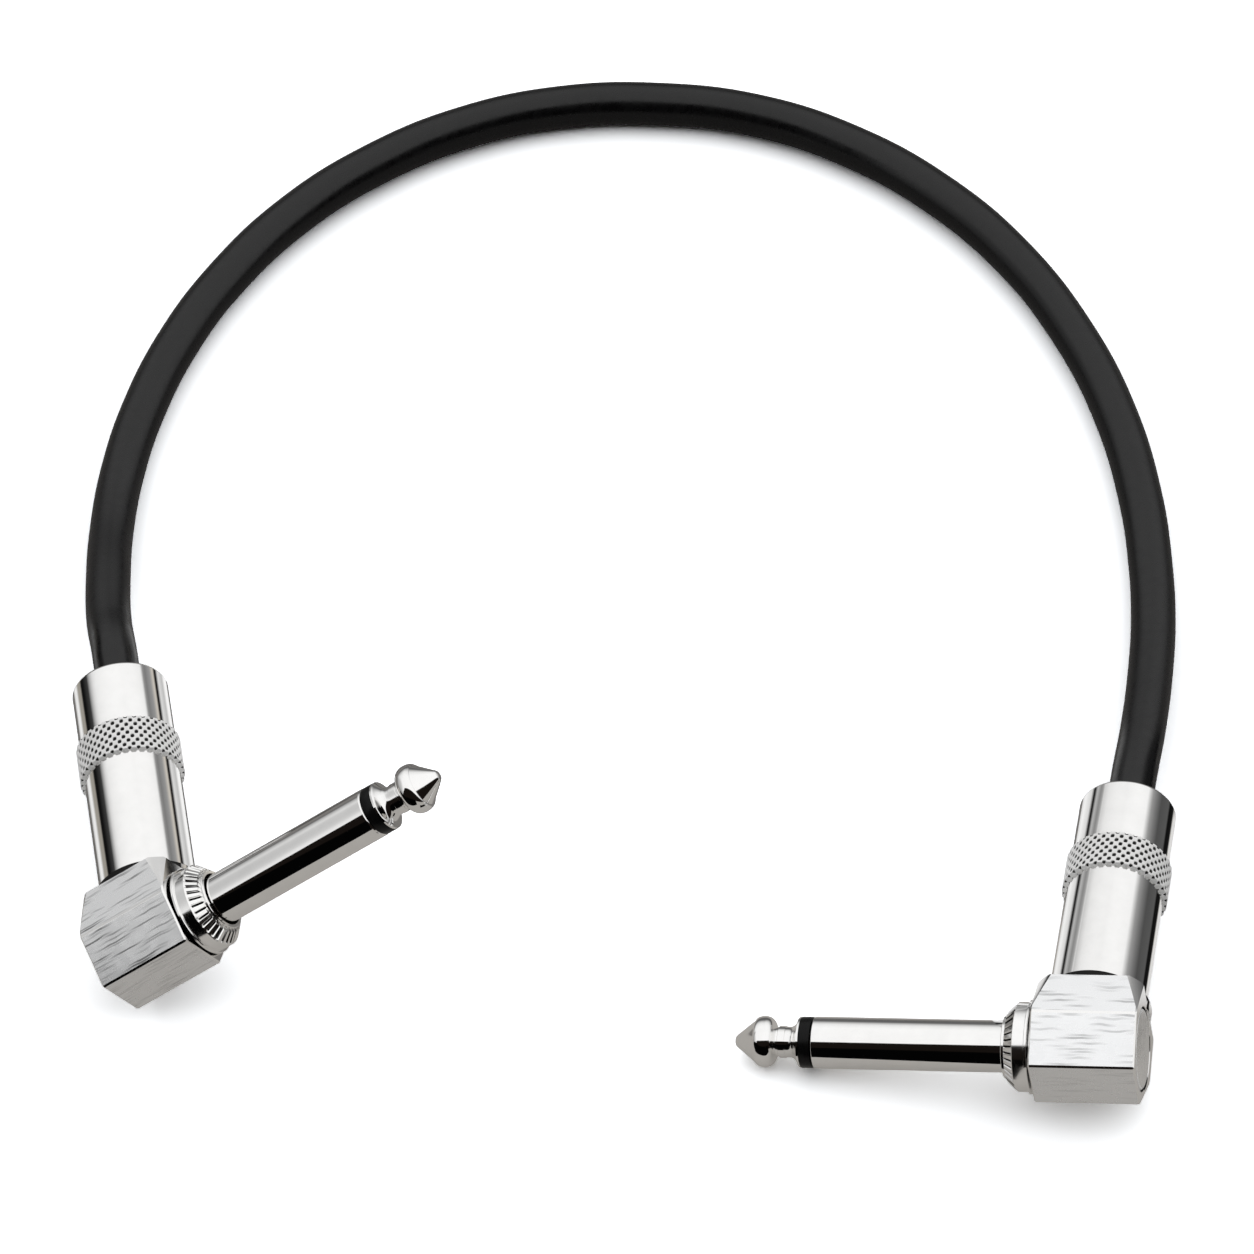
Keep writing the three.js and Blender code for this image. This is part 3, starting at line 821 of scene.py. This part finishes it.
for side in plug_poses:
    cap = turned([(-block_half_length, 0), (-block_half_length, cap_radius - cap_chamfer),
                  (-block_half_length + cap_chamfer, cap_radius), (cap_inner, cap_radius),
                  (cap_inner, 0)], "X")
    softened(cap, cap_rounding)
    for face in cap.faces:
        face.material_index = cap_finish(face)
    cap_nickel = bright_nickel(side, "cap_nickel", (0.96, 0.965, 0.97), roughness=0.2,
                               scratches=0.15)
    finished(f"{side}_cap", cap, side, "cable_and_plugs",
             [cap_nickel, turned_nickel[side], cap_rim_highlight], [f"{side}_end_cap"])

# ---------------------------------------------------------------- serrated collar
# The collar at the root of the finger is turned from bright nickel-plated brass: a foot, a
# smooth band, 36 teeth cut down its cone, and a small lip round the sleeve.

collar_back = 6.8
collar_bore = 3.475
collar_teeth = 36
tooth_columns = 8
groove_steepness = 2.6
# Painted shade: the bottoms of the grooves between the collar's teeth are blackened.
groove_shade_black = (0.010, 0.009, 0.008)
groove_deep = 5.08
groove_clear = 5.20
cone_start = 8.78
cone_stop = 9.87
cone_slope = 0.954
well_clear = 10.0
collar_rows = [
    (collar_back, collar_bore, collar_bore),
    (collar_back, 5.65, 5.65),
    (6.88, 5.75, 5.75),
    (7.12, 5.75, 5.75),
    (7.2, 5.65, 5.65),
    (7.2, 5.47, 5.47),
    (7.23, 5.45, 5.45),
    (8.62, 5.45, 5.45),
    (8.7, 5.38, 5.38),
    (cone_start, 5.33, 4.95),
    (9.86, 4.3, 3.85),
    (9.9, 4.0, 3.9),
    (9.93, 3.9, 3.9),
    (10.24, 3.9, 3.9),
    (10.3, 3.84, 3.84),
    (10.3, collar_bore, collar_bore),
]


def ring_of_lobes(rows, lobes, columns, axis, lift):
    """A turned ring with lobes round it: one lobe's strip is shaped, and copies close the ring.
    A row is (along, radius on a lobe, radius between lobes)."""
    bm = bmesh.new()
    bmesh.ops.create_grid(bm, x_segments=columns, y_segments=len(rows) - 1, size=0.5)
    for vert in bm.verts:
        column = vert.co.x + 0.5
        along, high, low = rows[round((vert.co.y + 0.5) * (len(rows) - 1))]
        radius = low + (high - low) * lift(column, along)
        angle = 2 * math.pi * column / lobes
        vert.co = (
            (along, radius * math.cos(angle), radius * math.sin(angle)) if axis == "X"
            else (radius * math.sin(angle), along, radius * math.cos(angle))
        )
    bmesh.ops.spin(bm, geom=bm.verts[:] + bm.edges[:] + bm.faces[:], cent=(0, 0, 0),
                   axis=spin_axes[axis], angle=2 * math.pi * (lobes - 1) / lobes,
                   steps=lobes - 1, use_duplicate=True)
    bmesh.ops.remove_doubles(bm, verts=bm.verts[:], dist=1e-3)
    bmesh.ops.recalc_face_normals(bm, faces=bm.faces[:])
    return bm


def tooth_lift(column, _):
    """A narrow V groove between teeth with flat crests."""
    from_middle = abs(2 * column - 1)
    return min(1.0, groove_steepness * (1 - from_middle))


def paint_groove_shade(made, side, axis, slope, start, end, deep, clear):
    """Paints black shade into a finish close to the axis, from deep to clear, which fall along a
    cone between start and end. Past the end it stays clean."""
    tree = made.node_tree
    shader = tree.nodes["Principled BSDF"]
    place = plug_frame(tree, side)
    flattened = node(tree, "ShaderNodeVectorMath",
                     {0: place, 1: Vector((1, 1, 1)) - spin_axes[axis]}, operation="MULTIPLY")
    radius = node(tree, "ShaderNodeVectorMath", {0: flattened.outputs[0]},
                  operation="LENGTH").outputs["Value"]
    along = axes_of(tree, place)[axis]
    down_cone = math_node(tree, "MAXIMUM", math_node(tree, "SUBTRACT", along, start), 0.0)
    on_cone = math_node(tree, "MULTIPLY_ADD", down_cone, slope, radius)
    past = math_node(tree, "GREATER_THAN", along, end)
    level = math_node(tree, "MULTIPLY_ADD", past, well_clear, on_cone)
    bare = shader.inputs["Base Color"].links[0].from_socket
    feed(tree, shader, {
        "Base Color": mixed(tree, ranged(tree, level, deep, clear), groove_shade_black, bare),
    })


polished = {}
for side in plug_poses:
    polished[side] = bright_nickel(side, "polished_nickel", nickel, roughness=0.045,
                                   scratches=0.06)
    collar = ring_of_lobes(collar_rows, collar_teeth, tooth_columns, "X", tooth_lift)
    serrated = bright_nickel(side, "serrated_nickel", (0.95, 0.945, 0.935), roughness=0.10,
                             scratches=0.06)
    # Painted shade blackens the collar's grooves.
    paint_groove_shade(serrated, side, "X", cone_slope, cone_start, cone_stop, groove_deep,
                   groove_clear)
    finished(f"{side}_collar", collar, side, "cable_and_plugs",
             [serrated], [f"{side}_serrated_collar"], smooth=24)

# ---------------------------------------------------------------- finger sleeve
# The finger's long contact: a polished nickel-plated tube of 6.35 mm, held in the elbow by its
# flange.

sleeve_radius = 3.175
sleeve_bore = 2.35
sleeve_front = 33.95
sleeve_chamfer = 0.18
sleeve_rounding = 0.03
flange_back = 3.3
flange_front = 4.2
flange_radius = 4.4

for side in plug_poses:
    sleeve = turned([(flange_back, sleeve_bore), (flange_back, flange_radius),
                     (flange_front, flange_radius), (flange_front, sleeve_radius),
                     (sleeve_front - sleeve_chamfer, sleeve_radius),
                     (sleeve_front, sleeve_radius - sleeve_chamfer), (sleeve_front, sleeve_bore),
                     (flange_back, sleeve_bore)], "X")
    softened(sleeve, sleeve_rounding, segments=2)
    finished(f"{side}_sleeve", sleeve, side, "cable_and_plugs",
             [polished[side]], [f"{side}_finger_sleeve"])

# ---------------------------------------------------------------- tip insulator
# A ring of black plastic keeps the tip apart from the sleeve. It is pushed on to the tip's rod,
# and stands a hair below the metal on both sides.

insulator_rear = 34.05
insulator_front = 35.4
insulator_radius = 3.125
insulator_bore = 1.5
insulator_rounding = 0.05
insulator_black = black_pvc("black_insulator", (0.003, 0.003, 0.003), sheen=0.15, roughness=0.3)

for side in plug_poses:
    ring = turned([(insulator_rear, insulator_bore), (insulator_rear, insulator_radius),
                   (insulator_front, insulator_radius), (insulator_front, insulator_bore),
                   (insulator_rear, insulator_bore)], "X", 96)
    softened(ring, insulator_rounding, segments=2)
    finished(f"{side}_insulator_ring", ring, side, "cable_and_plugs",
             [insulator_black], [f"{side}_tip_insulator"])

# ---------------------------------------------------------------- tip contact
# The tip is turned in one piece with its rod: a cone, a bulb, a narrow neck that the socket's
# spring drops into, and a flare back to a thin rim as wide as the sleeve.

apex = 43.75
nose = [(apex, 0), (apex - 0.03, 0.35), (apex - 0.13, 0.6), (apex - 0.3, 0.78)]
cone_end = (41.15, 2.62)
bulb_top = (40.0, 3.13)
bulb_end = (38.65, 2.0)
bulb_front_pull = (41.0, bulb_top[1])
bulb_rear_pull = (38.95, bulb_top[1])
neck_points = [(38.5, 1.8), (38.3, 1.8), (38.2, 1.95), (37.4, 1.95), (37.33, 1.88), (36.9, 1.88)]
flare_pull = (36.2, neck_points[-1][1])
flare_end = (35.78, 3.0)
rim_front = 35.7
rim_rear = 35.45
rim_radius = 3.1
rod_radius = 1.2
rod_head_radius = 2.0
rod_head_front = 0.6


def curve_through(start, pull, end, count=10):
    """Points after start on the curve that leaves towards pull and arrives from it."""
    points = []
    for step in range(1, count + 1):
        t = step / count
        points.append(tuple(
            (1 - t) ** 2 * a + 2 * t * (1 - t) * b + t * t * c
            for a, b, c in zip(start, pull, end)
        ))
    return points


tip_profile = [
    *nose, cone_end,
    *curve_through(cone_end, bulb_front_pull, bulb_top),
    *curve_through(bulb_top, bulb_rear_pull, bulb_end),
    *neck_points,
    *curve_through(neck_points[-1], flare_pull, flare_end),
    (rim_front, rim_radius), (rim_rear, rim_radius), (rim_rear, rod_radius),
    (rod_head_front, rod_radius), (rod_head_front, rod_head_radius), (0, rod_head_radius), (0, 0),
]

for side in plug_poses:
    tip = turned(tip_profile, "X")
    finished(f"{side}_tip", tip, side, "cable_and_plugs",
             [polished[side]], [f"{side}_tip_contact"], smooth=20)

# ---------------------------------------------------------------- barrel
# The polished barrel screws on to the neck and slides back along the cable when undone. It is a
# nickel-plated brass tube, rounded over at the rear round the cable's mouth.

barrel_front = 7.0
barrel_radius = 6.0
barrel_bore = 5.0
front_chamfer = 0.25
rear_round = 0.5
rear_wall = 1.5
mouth_radius = 3.15
mouth_chamfer = 0.12
rear_corner = [
    (barrel_rear - rear_round * (1 - math.sin(turn)),
     barrel_radius - rear_round * (1 - math.cos(turn)))
    for turn in (math.radians(10 * step) for step in range(10))
]

for side in plug_poses:
    shell = turned([(barrel_front, barrel_bore), (barrel_front, barrel_radius - front_chamfer),
                    (barrel_front + front_chamfer, barrel_radius), *rear_corner,
                    (barrel_rear, mouth_radius + mouth_chamfer),
                    (barrel_rear - mouth_chamfer, mouth_radius),
                    (barrel_rear - rear_wall, mouth_radius),
                    (barrel_rear - rear_wall, barrel_bore), (barrel_front, barrel_bore)], "Y")
    finished(f"{side}_barrel_tube", shell, side, f"{side}_barrel_shell",
             [polished[side]], [f"{side}_barrel"])

# ---------------------------------------------------------------- knurled ring
# A raised ring round the barrel for the fingers, with a diamond knurl of 36 diamonds round it
# and four along it. Painted shade darkens the bottoms of the grooves, and the pale finish of the
# ring's front edge is a painted highlight.

ring_front = 24.3
ring_rear = 29.2
ring_radius = 6.5
ring_foot = 5.8
ring_front_slope = 0.16
ring_rear_slope = 0.12
ring_rear_drop = 0.2
knurl_depth = 0.4
knurl_count = 36
knurl_pitches = 4
knurl_steps = 8
knurl_crests = 1.3
knurl_pitch = (ring_rear - ring_front) / knurl_pitches
knurl_rows = [
    (ring_front - ring_front_slope, ring_foot, ring_foot),
    *((ring_front + knurl_pitch * step / knurl_steps, ring_radius, ring_radius - knurl_depth)
      for step in range(knurl_pitches * knurl_steps + 1)),
    (ring_rear + ring_rear_slope, ring_radius - ring_rear_drop, ring_radius - knurl_depth),
    (ring_rear + ring_rear_slope, ring_foot, ring_foot),
]
# Painted shade: the knurl darkens towards the bottoms of its grooves, between these two radii.
knurl_shade_deep = ring_radius - 0.26 * knurl_depth
knurl_shade_clear = ring_radius - 0.08 * knurl_depth


def diamond_lift(column, along):
    """The height of the knurl: diamonds with broad crests, and pits where grooves cross."""
    turn = math.cos(2 * math.pi * column) * math.cos(
        2 * math.pi * (along - ring_front) / knurl_pitch
    )
    return min(1.0, knurl_crests * (1 + turn))


def ring_finish(face):
    """A face's material: 0 for the knurl, 1 for the front edge with its painted highlight, and 2
    for the painted shadow at the rear seam.
    """
    middle = face.calc_center_median().y
    if middle < ring_front:
        return 1
    return 2 if middle > ring_rear else 0


# The torn front edge is real; its pale, non-metallic finish is a painted highlight.
torn_edge_highlight = aged("torn_edge_highlight", {}, highlight_pale, highlight_white, size=1500.0, low=0.5, high=0.7)
for side in plug_poses:
    ring = ring_of_lobes(knurl_rows, knurl_count, knurl_steps, "Y", diamond_lift)
    knurled = bright_nickel(side, "knurled_nickel", (0.98, 0.977, 0.97), roughness=0.4,
                            scratches=0.05, metallic=0.12)
    # Painted shade darkens the knurl's grooves.
    paint_groove_shade(knurled, side, "Y", 0.0, 0.0, ring_rear, knurl_shade_deep, knurl_shade_clear)
    for face in ring.faces:
        face.material_index = ring_finish(face)
    finished(f"{side}_knurled_ring", ring, side, f"{side}_barrel_shell",
             [knurled, torn_edge_highlight, painted_seam_shadow], smooth=50)

# ---------------------------------------------------------------- pieces inside the plug
# The insulating sleeve in the barrel, and the washers, solder lug, cable clamp and stripped
# layers of the cable. They keep their CAD shapes and get the finish of their material.

tinned_brass = aged("tinned_brass", {"Metallic": 1.0}, (0.70, 0.66, 0.55), (0.78, 0.75, 0.66),
                    size=700.0, low=0.25, high=0.45)
bare_copper = aged("copper_braid", {"Metallic": 1.0}, (0.62, 0.32, 0.18), (0.75, 0.42, 0.26),
                   size=2500.0, low=0.3, high=0.5)
inner_finishes = {
    "barrel_lining": aged("clear_lining", {"Alpha": 0.55}, (0.78, 0.78, 0.75),
                          (0.85, 0.85, 0.82), size=300.0, low=0.25, high=0.4),
    "rod_insulator": aged("white_tube", {}, (0.78, 0.76, 0.70), (0.84, 0.82, 0.77),
                          size=500.0, low=0.4, high=0.55),
    "rear_washer": aged("fibre_washer", {}, (0.25, 0.23, 0.20), (0.33, 0.31, 0.27),
                        size=1500.0, low=0.7, high=0.9),
    "tip_lug": tinned_brass,
    "cable_clamp": tinned_brass,
    "cable_end_jacket": jacket_black,
    "braid_shield": bare_copper,
    "core_insulation": aged("white_insulation", {}, (0.80, 0.78, 0.72), (0.86, 0.84, 0.79),
                            size=500.0, low=0.4, high=0.55),
    "center_conductor": bare_copper,
}

for side in plug_poses:
    for name, finish in inner_finishes.items():
        for material_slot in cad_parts[f"{side}_{name}"].material_slots:
            material_slot.material = finish
